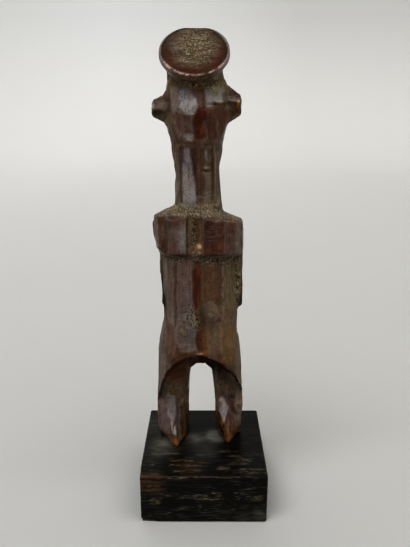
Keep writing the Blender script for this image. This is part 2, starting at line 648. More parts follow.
def lower_arch(carving):
    nearest = distance_to_path(carving.points, ARCH_EDGE)
    carving.points += ARCH_DROP * np.exp(-((nearest / PULL_REACH) ** 2))[:, None] * unit(ARCH_WAY)


def keep_on_block(carving):
    """Keeps the soles flat on the block, and nothing above the top of the solid."""
    sole = carving.start[:, 2] < 0.1
    carving.points[sole, 2] = 0.0
    carving.points[~sole, 2] = np.clip(carving.points[~sole, 2], 0.02, carving.start[:, 2].max())


# Soft-edged patches of each finish on the back, painted one after another: x, height, half width,
# half height, how strong. A patch below nought rubs that finish out.
PATCHES = {
    "grime": [
        (-10.8, 0.5, 2.6, 0.8, 0.45), (-11.9, 3.6, 1.6, 0.35, 0.35), (-3.0, 137.0, 7.0, 2.4, 0.85),
        (4.0, 136.9, 2.0, 1.5, -0.7), (-10.9, 136.4, 1.6, 1.6, -0.6), (-3.7, 135.1, 3.2, 1.2, 1.1),
        (-3.4, 134.8, 1.5, 1.2, 0.9), (-6.6, 134.9, 1.2, 0.9, 0.8),
        (0.4, 134.9, 1.4, 0.8, 0.7), (9.4, 131.2, 2.6, 1.2, 0.30), (-0.2, 129.4, 0.4, 1.8, 0.6),
        (3.2, 127.7, 3.4, 0.30, 0.9), (-15.6, 124.9, 1.8, 0.9, 0.75), (-12.0, 127.0, 0.35, 2.0, 0.5),
        (-2.6, 124.6, 1.0, 1.2, 0.5), (-3.4, 121.6, 0.7, 2.4, 0.5), (-1.8, 122.6, 0.9, 1.2, 0.6),
        (0.4, 122.8, 0.5, 2.4, 0.5), (1.5, 120.0, 0.35, 3.5, 0.35), (-1.6, 115.3, 6.5, 0.3, 0.45),
        (-4.5, 114.6, 2.6, 0.8, 0.35), (-2.3, 101.0, 0.35, 6.0, 0.8), (0.6, 106.4, 1.0, 0.42, 1.0),
        (-3.3, 93.9, 14, 2.2, 0.60), (-9.2, 91.5, 3.6, 0.30, 0.7), (4.0, 91.6, 4.0, 0.28, 0.5),
        (-14.4, 91.0, 1.6, 0.30, 0.6), (9.0, 91.2, 2.0, 0.28, 0.4), (-5.8, 85.0, 0.4, 7.0, 0.95),
        (-3.1, 85.4, 0.9, 4.6, 0.65), (-10.4, 89.4, 2.6, 1.5, 0.40), (-12.4, 85.0, 0.35, 6.0, 0.6),
        (1.2, 87.0, 2.2, 4.0, 0.50), (5.0, 88.6, 2.4, 1.8, 0.30), (0.1, 85.0, 0.4, 6.0, 0.6),
        (-1.0, 77.2, 12.0, 1.6, 0.55), (-9.0, 78.7, 4.6, 0.34, 0.8), (-8.0, 77.9, 1.4, 0.8, 0.8),
        (4.6, 78.6, 4.6, 0.34, 0.8), (-2.0, 78.2, 1.6, 0.4, 0.8), (11.0, 76.6, 1.6, 2.2, 0.55),
        (-6.5, 77.6, 3.0, 0.9, 0.7), (6.0, 77.4, 4.0, 1.0, 0.5), (-15.0, 67.0, 0.5, 12.0, 0.9),
        (-15.0, 59.0, 1.5, 4.5, 1.0), (13.6, 66.0, 0.35, 12.0, 0.9), (13.5, 59.5, 1.4, 4.5, 1.0),
        (-3.6, 72.5, 0.9, 2.6, 0.35), (-1.0, 60.5, 0.4, 6.0, 0.35), (1.0, 55.0, 2.6, 4.0, 0.58),
        (-6.0, 47.0, 3.0, 4.0, 0.10), (-0.8, 56.6, 1.5, 4.4, 0.62), (-2.3, 47.6, 0.45, 3.8, 0.7),
        (-1.0, 41.2, 9.0, 0.7, 0.5), (-7.0, 39.4, 4.0, 0.8, 0.35), (-9.0, 35.0, 4.0, 1.6, 0.6),
        (-6.2, 29.0, 1.0, 6.0, -0.8), (8.0, 33.0, 4.0, 4.6, 0.85), (8.4, 26.4, 1.6, 2.0, 0.6),
        (-10.2, 11.0, 0.25, 6.0, 0.8),
        (-9.0, 10.0, 0.22, 5.0, 0.7), (-6.9, 8.0, 0.5, 7.0, 0.5), (-8.4, 7.0, 0.4, 4.0, 0.6),
        (9.6, 0.6, 2.4, 1.4, 0.65), (8.9, 3.6, 0.26, 2.6, 0.8), (10.7, 4.6, 0.30, 2.6, 0.6),
        (11.4, 2.6, 0.8, 1.6, 0.4),
    ],
    "dust": [
        (-1.4, 133.2, 4.4, 0.9, 0.50), (-3.2, 136.2, 5.8, 1.8, 0.42), (-3.8, 135.1, 3.0, 1.2, -0.95),
        (3.6, 131.6, 2.4, 1.3, 0.85), (2.8, 132.8, 2.0, 1.7, 1.15), (3.9, 136.8, 1.8, 1.5, 1.0),
        (-6.4, 133.8, 1.8, 0.7, 0.35), (5.5, 134.4, 3.0, 2.2, 0.55), (7.5, 131.6, 2.4, 1.0, 0.35),
        (8.0, 126.8, 2.0, 0.9, 0.30), (-13.6, 127.8, 2.5, 1.2, 0.30), (-13.6, 123.2, 2.4, 1.3, 0.50),
        (-7.2, 115.0, 1.8, 0.8, 0.35), (1.2, 97.0, 2.6, 3.0, 0.5), (5.4, 97.0, 1.6, 3.5, 0.5),
        (-3.3, 93.9, 14, 1.7, 0.80), (-2.0, 92.4, 5.0, 0.8, 0.90), (-4.3, 85.0, 1.6, 7.0, 0.55),
        (-2.6, 79.5, 1.5, 0.9, 0.8), (-13.8, 86.5, 1.6, 3.2, 0.25), (-11.0, 76.4, 3.0, 2.0, 0.48),
        (-7.0, 76.4, 2.4, 1.2, 0.38), (-3.0, 77.2, 2.5, 0.9, 0.35), (2.5, 76.0, 3.0, 1.5, 0.42),
        (9.0, 75.8, 3.0, 2.8, 0.50), (12.0, 67.0, 1.6, 11.0, 0.80), (13.4, 59.0, 1.5, 4.0, -0.9),
        (-4.9, 55.6, 3.0, 3.4, 0.25), (-3.2, 53.4, 1.8, 2.2, 0.42), (3.0, 58.6, 1.8, 1.6, 0.20),
        (1.9, 56.8, 1.3, 0.6, 0.75), (4.6, 49.0, 1.8, 2.0, 0.3), (-12.4, 24.0, 2.6, 1.6, 0.25),
        (-9.0, 23.0, 1.4, 2.6, 0.30), (-11.0, 23.0, 3.4, 2.0, 0.30), (7.0, 23.5, 2.4, 2.2, 0.45),
    ],
    "holes": [
        (-2.6, 134.2, 5.0, 1.6, 0.9), (-3.3, 111.0, 1.0, 4.0, 0.8), (-3.4, 86.0, 1.6, 6.0, 1.0),
        (3.0, 86.0, 3.0, 4.0, 0.45), (-13.8, 86.5, 1.6, 3.2, 0.6), (-2.0, 76.8, 12.0, 1.8, 1.0),
        (8.0, 75.6, 4.0, 3.0, 0.8), (-10.0, 76.8, 3.0, 1.5, 0.6), (12.0, 67.0, 1.4, 9.0, 0.8),
        (-4.8, 56.6, 4.0, 4.8, 0.8), (-2.6, 54.6, 1.8, 3.4, 1.0), (3.6, 48.0, 3.6, 5.0, 0.3),
        (-1.0, 46.0, 1.2, 4.0, 0.6), (10.6, 18.0, 1.6, 4.0, 0.7), (-11.5, 22.0, 3.0, 2.0, 0.5),
        (8.0, 24.5, 2.6, 3.0, 0.6),
    ],
    "olive": [
        (-2.6, 134.2, 5.0, 1.4, 0.7), (-11.0, 132.6, 1.8, 3.0, 0.9), (6.0, 133.4, 2.6, 3.0, 0.9),
        (3.9, 136.8, 2.0, 1.3, 0.8), (3.4, 131.6, 2.6, 1.3, 0.7), (-11.0, 121.5, 1.3, 2.6, 0.8),
        (-3.4, 85.0, 2.4, 8.0, 0.55), (-8.0, 77.0, 6.0, 1.6, 0.35), (4.0, 76.6, 6.0, 2.0, 0.40),
        (13.0, 67.0, 1.4, 12.0, 0.8), (-0.6, 56.6, 1.6, 4.4, 0.6), (3.0, 58.0, 3.0, 3.5, 0.6),
        (-6.2, 29.0, 1.0, 6.0, 1.0), (10.0, 27.0, 1.6, 3.0, 0.6), (-8.8, 5.0, 1.0, 3.0, 0.8),
    ],
    "red": [
        (-11.0, 27.0, 3.4, 4.5, 0.95), (-1.6, 115.9, 6.5, 0.5, 0.8), (-3.3, 93.9, 14, 2.4, -0.9),
        (-1.3, 86.0, 0.7, 6.0, 0.5), (-10.2, 81.2, 2.0, 1.7, 1.0), (2.6, 81.0, 3.6, 2.4, 0.95),
        (13.4, 67.0, 1.6, 13.0, -0.95), (-9.0, 70.0, 0.9, 6.0, 0.45), (4.4, 71.0, 3.0, 4.0, 0.45),
        (9.0, 52.0, 1.6, 9.0, 0.45), (-7.5, 39.6, 5.0, 1.6, 0.6), (-9.6, 30.0, 4.0, 5.0, 0.9),
        (-14.5, 16.0, 1.6, 7.0, 0.8), (-12.6, 11.0, 1.6, 5.0, 0.5), (11.4, 25.0, 1.2, 3.0, 0.7),
        (10.2, 3.0, 3.0, 4.0, 0.8),
    ],
    "bloom": [
        (4.6, 129.6, 1.8, 0.7, 1.1), (5.0, 131.8, 1.6, 1.2, 1.1), (-4.9, 117.6, 1.1, 0.8, 0.95),
        (0.55, 111.8, 0.35, 2.4, 0.7), (0.6, 107.6, 0.85, 0.30, 1.0), (1.2, 103.0, 0.6, 2.2, 0.4),
        (-3.1, 85.0, 2.8, 8.0, -0.9), (-1.1, 87.5, 0.4, 3.5, 0.25), (-6.45, 85.5, 0.25, 5.0, 0.8),
        (-7.4, 84.0, 1.4, 4.8, 0.80), (-9.6, 86.4, 2.0, 2.4, 0.40), (-0.35, 85.0, 0.22, 5.5, 0.5),
        (13.4, 67.0, 1.6, 13.0, -0.8), (-14.9, 59.5, 1.6, 4.5, -0.9), (-5.5, 43.4, 2.4, 0.45, 0.40),
        (-7.5, 39.0, 6.0, 2.0, -0.8), (-14.4, 25.0, 1.0, 3.0, 0.30), (-9.6, 11.0, 0.4, 5.0, 0.7),
        (-7.8, 8.0, 1.4, 8.0, -0.8), (4.6, 30.0, 0.5, 4.5, 0.8),
    ],
    "wear": [
        (-11.5, 26.5, 3.0, 4.0, 0.13), (13.6, 14.0, 1.6, 8.0, 0.05), (-11.4, 132.0, 2.6, 3.6, -0.95),
        (-14.6, 129.4, 3.6, 1.2, -0.8), (-3.4, 133.9, 4.6, 0.7, 0.20),
        (11.1, 128.2, 0.35, 1.3, 0.9), (-0.9, 119.4, 0.6, 1.6, 0.20), (-1.6, 115.8, 9.0, 1.2, -0.9),
        (0.6, 107.0, 2.0, 1.5, -0.9), (-2.0, 91.2, 16, 1.2, -0.85), (-1.2, 84.0, 0.45, 5.0, 0.20),
        (-2.0, 81.5, 1.15, 0.95, 1.1), (-10.4, 81.0, 0.8, 0.8, 0.12), (1.2, 80.2, 1.2, 1.0, 0.18),
        (5.2, 82.0, 0.9, 1.2, 0.16), (2.8, 79.2, 2.4, 0.35, 0.20), (-1.0, 78.0, 14.0, 1.6, -0.8),
        (-2.0, 73.0, 0.6, 2.2, 0.16), (-1.9, 61.5, 0.35, 5.0, 0.16), (8.4, 43.0, 4.0, 8.0, 0.10),
        (0.2, 48.2, 0.7, 4.0, 0.20), (1.4, 47.0, 2.4, 5.0, 0.07), (-1.0, 41.5, 14.0, 2.2, -0.7),
        (-1.4, 42.4, 1.3, 0.28, 0.6), (0.8, 43.0, 1.2, 0.8, 0.30), (13.9, 37.0, 0.7, 4.0, 0.12),
        (-14.4, 31.0, 0.8, 4.0, 0.15), (8.0, 39.2, 3.0, 1.0, 0.12), (-9.0, 29.5, 2.6, 3.0, 0.10),
        (-5.4, 27.0, 0.6, 9.0, -0.9), (-7.6, 6.0, 1.0, 5.0, 0.16), (7.2, 9.6, 0.35, 2.0, 0.5),
        (-10.9, 1.6, 3.4, 1.8, 0.42), (-12.9, 2.4, 1.6, 0.5, 0.3), (9.9, 1.6, 1.6, 1.6, 0.28),
        (9.5, 5.6, 0.5, 2.8, 0.5), (8.4, 4.6, 0.5, 2.0, 0.4), (12.6, 4.4, 1.2, 1.6, 0.25),
    ],
    "pale": [
        (5.0, 128.7, 1.6, 0.28, 0.45), (1.8, 127.4, 1.2, 0.22, 0.25), (9.0, 129.2, 2.0, 0.22, 0.30),
        (11.1, 128.9, 0.28, 0.4, 0.6), (-17.0, 127.0, 0.30, 1.1, 0.55), (-4.4, 124.8, 1.1, 0.22, 0.40),
        (-2.9, 127.4, 0.22, 1.8, 0.30), (-4.6, 116.6, 0.9, 0.18, 0.35), (0.8, 107.6, 0.6, 0.18, 0.35),
        (-1.5, 81.6, 0.75, 0.70, 0.75), (4.6, 90.7, 2.2, 0.20, 0.28), (-5.0, 42.9, 2.6, 0.25, 0.10),
        (-1.2, 42.5, 0.8, 0.16, 0.4), (-11.3, 6.0, 0.28, 1.6, 0.45), (-12.2, 9.5, 0.5, 2.2, 0.20),
        (7.8, 15.6, 0.8, 2.2, 0.30), (6.8, 18.0, 0.9, 0.6, 0.35), (7.9, 10.0, 0.35, 1.4, 0.45),
    ],
    "chatter": [
        (3.0, 87.2, 3.0, 4.2, 1.0), (1.4, 98.5, 1.6, 3.8, 0.8), (-6.4, 46.5, 2.2, 3.0, 0.5),
    ],
}


def soft_spot(across, up, middle, size):
    """A round or oval patch with soft edges, 1 in its middle."""
    return np.exp(-(((across - middle[0]) / size[0]) ** 2) - ((up - middle[1]) / size[1]) ** 2)


def add_patches(carving):
    p = carving.points
    x = p[:, 0] + 0.20 * ripple(p, 1.6, 43)
    h = p[:, 2] + 0.30 * ripple(p, 1.6, 44)
    behind = smooth_step(0.1, -0.35, carving.normals[:, 1])
    for name, patches in PATCHES.items():
        values = carving.finish[name]
        for across, up, wide, tall, amount in patches:
            away = ((x - across) / wide) ** 2 + ((h - up) / tall) ** 2
            there = behind * np.exp(-(away**1.5))
            raised = np.maximum(values, values + there * (amount - values))
            values = raised if amount > 0 else values * (1 + there * amount)
        carving.finish[name] = values


def paint_disc(carving):
    """The dusty middle of the disc, its dark edge, the red wood beside it and the rubbed lower rim."""
    p, finish = carving.points, carving.finish
    across, up, raised = disc_place(p).T
    out = np.hypot(across, up)
    high = p[:, 2] > DISC_ABOVE
    lid = (raised > DISC_EDGE) & high
    side = (raised > DISC_RIM) & (raised <= DISC_EDGE) & (out > 9) & high
    rows = ripple(p, (2.6, 0.6, 0.6), 45)
    cloud = ripple(p, (4, 3, 3), 46)
    centre = smooth_step(1.25, 0.45, np.hypot((across - 0.2) / 7.6, (up - 1.6) / 9.4) + 0.12 * cloud)
    rim = smooth_step(9.9, 10.6, out)
    low = smooth_step(-2.0, -6.0, up)
    red = smooth_step(5.0, 7.5, out) * smooth_step(2.5, -1.0, up - 2.5 * (across > 0)) * (0.8 + 0.3 * cloud)
    sheen = 0.24 * soft_spot(across, up, (-6.8, 2.5), (2.2, 3.2))
    finish["dust"] = np.where(lid, centre * (0.62 + 0.50 * rows + 0.15 * cloud), finish["dust"])
    finish["holes"] = np.where(lid, centre * 0.30, finish["holes"])
    finish["wear"] = np.where(lid | side, 0.0, finish["wear"])
    finish["pale"] = np.where(lid, 0.16 * centre * smooth_step(0.2, 0.9, rows), finish["pale"])
    finish["bloom"] = np.where(lid, sheen + 0.30 * rim * (1 - low) * (np.abs(across) > 7), finish["bloom"])
    finish["red"] = np.where(lid, red, finish["red"])
    dark = 0.45 + 0.55 * np.exp(-(((out - 10.3) / 0.4) ** 2)) * (1 - low) + 0.3 * smooth_step(7, 10, up)
    finish["grime"] = np.where(lid, dark - 0.10 * centre, finish["grime"])
    finish["olive"] = np.where(lid, 0.25 * centre, finish["olive"])
    for name in ("bloom", "red"):
        finish[name][side] *= 0.3
    beside = smooth_step(4.5, 8.5, np.abs(across))
    finish["dust"][side] = (0.35 * low * (1 - beside))[side]
    finish["olive"][side] = (0.6 * low)[side]
    finish["grime"][side] = (0.6 * low * (1 - 0.8 * beside) + 0.15)[side]
    finish["bloom"][side] = 0.6 * beside[side]
    bevel = lid * smooth_step(10.45, 10.7, out) * beside
    finish["grime"] *= 1 - 0.9 * bevel
    finish["bloom"] = np.maximum(finish["bloom"], 0.65 * bevel)
    line = np.exp(-(((out - 10.75) / 0.17) ** 2)) * (raised > DISC_EDGE - 0.3) * high
    broken = np.clip(0.45 + ripple(p, 0.9, 47), 0, 1)
    finish["pale"] += line * smooth_step(-3.5, -6.0, up) * broken
    corner = soft_spot(across, up, (-7.6, -6.0), (1.6, 2.0))
    finish["wear"] += line * smooth_step(-1.0, -5.0, up) * (0.1 + 0.8 * corner)
    finish["wear"] += 0.08 * corner * (out < 10.8)
    return lid | side


def darken_between_legs(carving):
    """Old dirt under the arch of the hips and at the top of the thighs, more of it on the right."""
    normals, finish = carving.normals, carving.finish
    y, h = carving.points[:, 1], carving.points[:, 2]
    from_axis = carving.points[:, 0] - axis_x(h)
    height = smooth_step(21, 25, h) * smooth_step(44, 42, h)
    under = smooth_step(-0.25, -0.6, normals[:, 2]) * height
    inner = smooth_step(-5, -2, y) * smooth_step(13, 11, np.abs(from_axis))
    inner *= height * smooth_step(0.3, -0.1, normals[:, 1]) * smooth_step(23, 34, h) * 0.9
    dark = np.maximum(under, inner) * (0.50 + 0.38 * smooth_step(-4, 2, from_axis))
    finish["grime"] = np.maximum(finish["grime"], dark)
    finish["red"] = np.maximum(finish["red"], dark)
    for name in ("bloom", "olive", "wear"):
        finish[name] *= 1 - 0.9 * dark


# How widely the skin is evened to tell its edges and its hollows
EDGE_ROUNDS = 2
HOLLOW_ROUNDS = 24


def paint(carving):
    """Gathers what every part of the skin carries, and keeps it as numbers for the material."""
    edge = -carving.hollowness(EDGE_ROUNDS)
    hollow = carving.hollowness(HOLLOW_ROUNDS)
    p, normals, finish = carving.points, carving.normals, carving.finish
    h = p[:, 2]
    speckle = ripple(p, 0.9, 21)
    cloud = ripple(p, (5, 5, 9), 22)
    sideways = smooth_step(0.72, 0.97, np.abs(normals[:, 0])) * smooth_step(0.5, 0.0, normals[:, 1])
    finish["grime"] = np.maximum(finish["grime"], 0.5 * sideways)
    finish["bloom"] *= 1 - 0.6 * sideways
    finish["olive"] = np.maximum(finish["olive"], 0.5 * sideways)
    upward = smooth_step(0.5, 0.95, normals[:, 2]) * (h > 70) * (h < 135)
    settled = smooth_step(1.2, 4.5, hollow) * 0.7 * (h > 3)
    face = smooth_step(1.5, 4.0, p[:, 1]) * (h > FACE_FROM) * (h < FACE_TO)
    finish["dust"] = np.maximum.reduce([finish["dust"], settled * (1 - 0.8 * face), upward * 0.65])
    finish["grime"] = np.maximum(finish["grime"], smooth_step(0.8, 3.0, hollow) * 0.8)
    finish["wear"] = smooth_step(0.5, 1.6, edge) * (0.25 + 0.25 * speckle)
    finish["wear"] *= 1 - np.minimum(finish["dust"], 1)
    darken_between_legs(carving)
    add_patches(carving)
    on_disc = paint_disc(carving)
    finish["dust"] *= 1 + 0.35 * speckle + 0.25 * cloud
    for name, values in finish.items():
        even = values if name in ("dust", "pale", "wear") else carving.spread(values, 1) * (1 + 0.3 * cloud)
        store(carving.mesh, name, np.where(on_disc, values, even))
    dirty = 0.6 * smooth_step(0.5, 0.9, finish["grime"])
    store(carving.mesh, "matt", np.maximum(finish["dust"], dirty))


def carve_figure():
    """The figure from the blank to the painted skin."""
    figure = figure_blank()
    carving = Carving(figure)
    carving.relax(2, 0.5)
    carving.refresh()
    cut_plain_facets(carving)
    cut_back_facets(carving)
    carving.relax(1, 0.25)
    carving.refresh()
    for half_width, depth, path in BACK_LINES:
        carving.groove(path, half_width, depth, TO_THE_BACK)
    cut_front(carving)
    carving.refresh()
    roughen(carving)
    draw_out_heels(carving)
    lower_arch(carving)
    keep_on_block(carving)
    carving.refresh()
    paint(carving)
    take_up(figure)
    bpy.ops.object.shade_smooth()
    return figure


# The black block

HALF = BLOCK_SIDE / 2
TOP = BLOCK_HEIGHT

# Pale streaks in the grain of the top: from x, to x, y, how strong
TOP_STREAKS = [
    (-20.0, -9.4, -9.3, 0.6), (-12.6, -3.6, -13.7, 0.9), (-23.0, -18.3, -16.3, 0.6),
    (-12.8, -4.0, -16.4, 0.7), (-11.1, -6.4, -19.8, 0.8), (-4.0, -0.3, -19.5, 0.6),
    (4.8, 9.5, -18.7, 0.9), (12.7, 22.8, -18.7, 0.6), (9.0, 17.0, -15.6, 0.5),
    (12.3, 18.3, -13.0, 0.5), (3.9, 10.3, -7.7, 0.35),
]
# And in the grain of the near side: from x, to x, height, how strong
SIDE_STREAKS = [
    (-13.4, -5.6, 19.1, 1.0), (-3.5, 7.2, 19.3, 0.4), (11.4, 19.3, 19.4, 0.45),
    (-3.9, 1.9, 11.6, 0.8), (-1.8, 5.2, 10.1, 1.0), (-9.4, -6.8, 10.5, 0.6),
    (11.2, 13.7, 10.3, 0.7), (16.6, 21.6, 10.1, 0.6), (-22.1, -12.1, 12.1, 0.4),
    (2.6, 6.6, 12.6, 0.5), (-20.5, -15.0, 15.2, 0.3), (-1.8, -0.9, 7.0, 0.8),
    (-1.2, -0.2, 6.3, 0.7), (0.2, 1.1, 5.5, 0.7), (-1.9, -1.0, 5.2, 0.6),
]
FAINT_STREAKS = 56
STREAK_HALF = 0.34
STREAK_DEPTH = 0.06

# Greyish film and scuffs on the block: x, y, height, reach, how strong
BLOCK_FILM = [
    (5.2, 3.0, TOP, 3.2, 3.4), (-3.6, 1.5, TOP, 3.6, 0.9), (-15.5, -1.5, TOP, 4.0, 0.9),
    (-16.0, -7.5, TOP, 5.0, 0.45), (-21.0, 12.0, TOP, 7.0, 0.3), (1.0, -7.0, TOP, 6.0, 0.2),
    (20.5, -HALF, 3.2, 2.6, 0.5), (14.5, -HALF, 2.6, 2.2, 0.25),
]

# The rounding of its edges, and how deep its surface goes: the grain, the knocks on its edges, the chip
# off its near left corner at the foot, and the wear on the near end of its left side
EDGE_ROUNDING = 0.6
BLOCK_GRAIN = 0.035
KNOCK_DEPTH = 0.30
CHIP_DEPTH = 0.9
SIDE_WEAR = 0.40
# Where the figure stands, the top stays flat: half its width, and from y to y
STAND_HALF = 17.5
STAND_NEAR = -6
STAND_FAR = 16.5


def black_block():
    """A cube to size, its edges rounded, and its surface fine enough to be worn."""
    deselect_all()
    middle = (0, 0, BLOCK_HEIGHT / 2 * MM)
    size = (BLOCK_SIDE * MM, BLOCK_SIDE * MM, BLOCK_HEIGHT * MM)
    bpy.ops.mesh.primitive_cube_add(size=1, location=middle, scale=size)
    block = bpy.context.object
    block.name = "block"
    bpy.ops.object.transform_apply(location=True, rotation=True, scale=True)
    rounding = block.modifiers.new("edges", "BEVEL")
    rounding.width = EDGE_ROUNDING * MM
    rounding.segments = 3
    bpy.ops.object.modifier_apply(modifier=rounding.name)
    skin = block.modifiers.new("skin", "REMESH")
    skin.mode = "VOXEL"
    skin.voxel_size = BLOCK_STEP * MM
    bpy.ops.object.modifier_apply(modifier=skin.name)
    work_block(block.data)
    bpy.ops.object.shade_smooth()
    return block


def faint_streaks():
    """Short faint streaks, scattered by turns over the near side and the near half of the top."""
    rng = np.random.default_rng(39)
    streaks = []
    for number in range(FAINT_STREAKS):
        x, y, z = rng.uniform((-22, -22.5, 2), (19, -9, 18.5))
        length, amount = rng.uniform((1.8, 0.15), (5.5, 0.50))
        place = (y, TOP) if number % 2 else (-HALF, z)
        streaks.append((x, x + length, *place, amount))
    return streaks


def near_streaks(p):
    """How far each point lies in a pale streak."""
    wave = 0.20 * ripple(p, (3, 3, 3), 37)
    streaks = [(x0, x1, y, TOP, amount) for x0, x1, y, amount in TOP_STREAKS]
    streaks += [(x0, x1, -HALF, z, amount) for x0, x1, z, amount in SIDE_STREAKS]
    total = np.zeros(len(p))
    for x0, x1, y, z, amount in streaks + faint_streaks():
        beside = np.hypot(p[:, 1] - y, p[:, 2] - z) + wave
        along = smooth_step(x0 - 0.5, x0 + 1.0, p[:, 0]) * smooth_step(x1 + 0.5, x1 - 1.0, p[:, 0])
        total = np.maximum(total, amount * along * np.exp(-((beside / STREAK_HALF) ** 2)))
    return total


def work_block(mesh):
    """The grain, the worn edges and the knocked corner of the block, and where its black is thin."""
    p = read_points(mesh)
    normals = read_normals(mesh)
    flatness = np.abs(normals).max(axis=1)
    grain = BLOCK_GRAIN * (1 + ripple(p, (14, 1.1, 1.1), 31))
    knocks = KNOCK_DEPTH * smooth_step(0.5, 1.4, ripple(p, (4, 2.5, 2.5), 32))
    knocks *= smooth_step(0.98, 0.8, flatness)
    corner = np.array([-HALF, -HALF, 0])
    chip = CHIP_DEPTH * smooth_step(3.4, 0.6, np.linalg.norm((p - corner) * (0.5, 0.8, 1.6), axis=1))
    stands = (normals[:, 2] > 0.9) & (np.abs(p[:, 0]) < STAND_HALF)
    stands &= (p[:, 1] > STAND_NEAR) & (p[:, 1] < STAND_FAR)
    depth = np.where(stands, 0, grain + knocks + chip)
    streaks = near_streaks(p)
    p -= normals * (depth + STREAK_DEPTH * streaks * ~stands)[:, None]
    p[normals[:, 2] < -0.9, 2] = 0
    p[:, 2] = np.clip(p[:, 2], 0, TOP)
    worn_side = SIDE_WEAR * smooth_step(-15, -22, p[:, 1])
    p[:, 0] = np.clip(p[:, 0], -HALF + worn_side, HALF)
    p[:, 1] = np.clip(p[:, 1], -HALF, HALF)
    write_points(mesh, p)
    brown = smooth_step(-12, -18, p[:, 0]) * smooth_step(-20, -23, p[:, 1])
    brown *= smooth_step(12.0, 14.0, p[:, 2]) * (0.75 + 0.5 * ripple(p, (6, 1.0, 1.0), 33))
    stain = 0.45 * soft_spot(p[:, 0], p[:, 1], (-5.5, -17.5), (4.5, 4.0)) * (normals[:, 2] > 0.5)
    raw = smooth_step(0.25, 0.7, chip)
    film = np.zeros(len(p))
    for x, y, z, reach, amount in BLOCK_FILM:
        film += amount * np.exp(-(((p - (x, y, z)) ** 2).sum(axis=1) / reach**2))
    store(mesh, "brown", np.maximum.reduce([brown, stain, raw]))
    store(mesh, "film", film * (0.75 + 0.35 * ripple(p, (2.5, 0.8, 0.8), 34)))
    right_edge = smooth_step(22.4, 23.0, p[:, 0]) * smooth_step(-22, -22.8, p[:, 1])
    rubbed = 0.25 + 0.6 * ripple(p, (5, 1.5, 1.5), 35) + 0.5 * right_edge
    store(mesh, "rubbed", smooth_step(0.97, 0.75, flatness) * rubbed)
    forward = smooth_step(0, -12, p[:, 1])
    store(mesh, "pores", 0.08 + forward * (0.12 + 0.4 * ripple(p, (9, 3, 2), 36)))
    store(mesh, "streaks", streaks)
    bottom = smooth_step(6.0, 3.0, p[:, 2])
    store(mesh, "worn", 0.08 + 0.28 * ripple(p, (8, 4, 3), 38) + 0.25 * bottom)


# Materials


class Surface:
    """A material while its nodes are laid: every pattern in it is fixed to the piece's own place."""

    def __init__(self, name):
        self.material = bpy.data.materials.new(name)
        self.material.use_nodes = True
        self.nodes = self.material.node_tree.nodes
        self.links = self.material.node_tree.links
        self.shader = next(n for n in self.nodes if n.type == "BSDF_PRINCIPLED")
        self.place = self.nodes.new("ShaderNodeTexCoord").outputs["Object"]

    def noise(self, scale, squeeze=(1, 1, 1), detail=3):
        """A noise with lumps about 1 / scale metres across, and longer where it is squeezed below 1."""
        mapping = self.nodes.new("ShaderNodeMapping")
        mapping.inputs["Scale"].default_value = squeeze
        self.links.new(self.place, mapping.inputs["Vector"])
        noise = self.nodes.new("ShaderNodeTexNoise")
        noise.inputs["Scale"].default_value = scale
        noise.inputs["Detail"].default_value = detail
        self.links.new(mapping.outputs["Vector"], noise.inputs["Vector"])
        return noise.outputs["Fac"]

    def ramp(self, source, low, high, start=0.0, end=1.0):
        """Goes from start to end while the source goes from low to high."""
        spread_out = self.nodes.new("ShaderNodeMapRange")
        spread_out.inputs["From Min"].default_value = low
        spread_out.inputs["From Max"].default_value = high
        spread_out.inputs["To Min"].default_value = start
        spread_out.inputs["To Max"].default_value = end
        self.links.new(source, spread_out.inputs["Value"])
        return spread_out.outputs["Result"]

    def carried(self, name):
        """What the piece's points carry under this name."""
        reader = self.nodes.new("ShaderNodeAttribute")
        reader.attribute_name = name
        return reader.outputs["Fac"]

    def carried_where(self, name, pattern):
        """What the points carry, times a pattern."""
        product = self.nodes.new("ShaderNodeMath")
        product.operation = "MULTIPLY"
        product.use_clamp = True
        self.links.new(self.carried(name), product.inputs[0])
        self.links.new(pattern, product.inputs[1])
        return product.outputs[0]

    def blend(self, amount, under, over):
        """Lays one colour over another."""
        mix = self.nodes.new("ShaderNodeMix")
        mix.data_type = "RGBA"
        self.links.new(amount, mix.inputs["Factor"])
        for socket, colour in ((mix.inputs["A"], under), (mix.inputs["B"], over)):
            if isinstance(colour, tuple):
                socket.default_value = (*colour, 1)
            else:
                self.links.new(colour, socket)
        return mix.outputs["Result"]

    def feed(self, socket, source):
        self.links.new(source, self.shader.inputs[socket])

    def bump(self, height, strength):
        bump = self.nodes.new("ShaderNodeBump")
        bump.inputs["Distance"].default_value = BUMP_HEIGHT * MM
        bump.inputs["Strength"].default_value = strength
        self.links.new(height, bump.inputs["Height"])
        self.feed("Normal", bump.outputs["Normal"])


BUMP_HEIGHT = 0.05
WOOD_SPECULAR = 0.2

DARK_WOOD = (0.056, 0.026, 0.014)
BROWN_WOOD = (0.160, 0.078, 0.040)
RED_WOOD = (0.130, 0.028, 0.010)
OLIVE_FILM = (0.215, 0.148, 0.064)
GREY_BLOOM = (0.425, 0.405, 0.408)
GRIME = (0.018, 0.011, 0.006)
WORN_WOOD = (0.480, 0.215, 0.060)
PALE_EDGE = (0.80, 0.64, 0.52)
GREY_DUST = (0.385, 0.370, 0.285)
OCHRE_DUST = (0.220, 0.170, 0.085)


